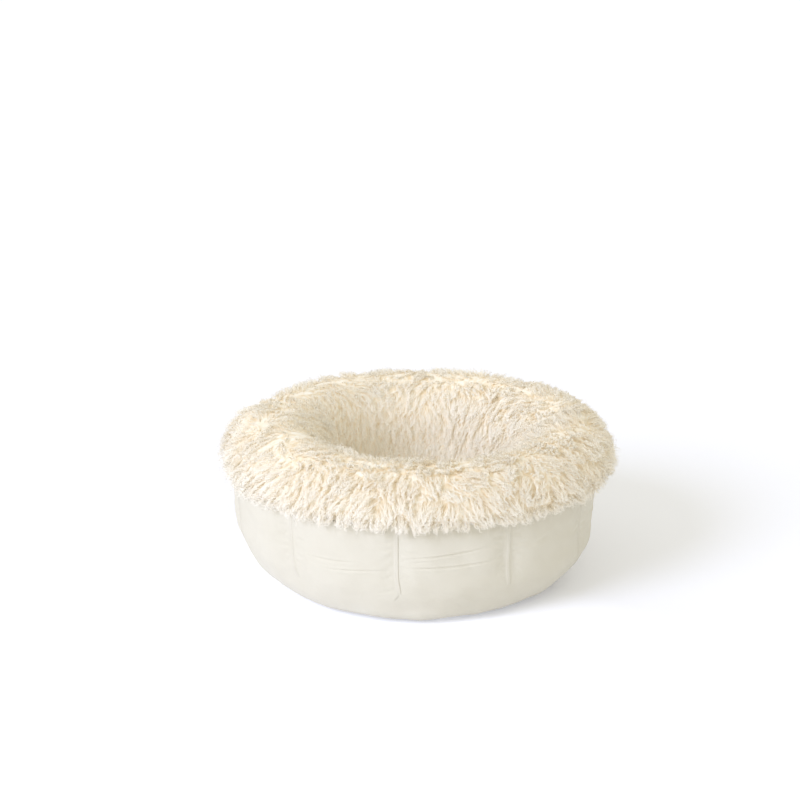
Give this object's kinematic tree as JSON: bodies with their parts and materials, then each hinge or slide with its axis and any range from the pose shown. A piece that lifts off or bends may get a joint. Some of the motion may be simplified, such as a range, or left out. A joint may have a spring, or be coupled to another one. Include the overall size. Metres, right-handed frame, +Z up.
{
  "type": "dog bed",
  "caption": "Round dog bed: a darted cloth wall with a rounded foot, a long-pile rim round a deep hollow, stuffed ring and seat pad inside, and a zip low on the back.",
  "frame": {"origin": "middle of the flat face that stands on the floor", "axes": "+Z up; the front of the bed faces -Y and the zip is on the +Y side"},
  "size_m": [0.614, 0.614, 0.2543],
  "materials": {
    "base_cloth": "woven",
    "piping_cord": "covered cord",
    "brushed_cream_cloth": "brushed",
    "seam_tape": "woven tape",
    "cream_pile": "long curly pile",
    "seat_pile": "long curly pile",
    "lining_cloth": "non-woven",
    "fibre_filling": "loose fibre",
    "zip_tape_cloth": "woven tape",
    "zip_nylon": "satin",
    "zip_metal": "satin"
  },
  "bodies": {
    "bed": {"base_panel": "base_cloth", "base_piping": "piping_cord", "wall_cover": "brushed_cream_cloth", "rim_seam_binding": "seam_tape", "seat_seam_binding": "seam_tape", "rim_fur_cover": "cream_pile", "seat_fur_cover": "seat_pile", "bolster_casing": "lining_cloth", "bolster_filling": "fibre_filling", "seat_casing": "lining_cloth", "seat_filling": "fibre_filling", "zip_tape_upper": "zip_tape_cloth", "zip_tape_lower": "zip_tape_cloth", "zip_coil_upper": "zip_nylon", "zip_coil_lower": "zip_nylon", "zip_closed_stop": "zip_metal", "zip_open_stop": "zip_metal"},
    "slider": {"zip_slider": "zip_metal"},
    "pull": {"zip_pull": "zip_metal"}
  },
  "joints": [
    {"name": "zip_travel", "type": "hinge", "parent": "bed", "child": "slider", "pos_m": [0, 0, 0], "axis": [0, 0, 1], "range_deg": [0, 139.4]},
    {"name": "pull_swing", "type": "hinge", "parent": "slider", "child": "pull", "pos_m": [0.24822, 0.09177, 0.03973], "axis": [0.3468, -0.9379, 0], "range_deg": [-8, 115]}
  ]
}
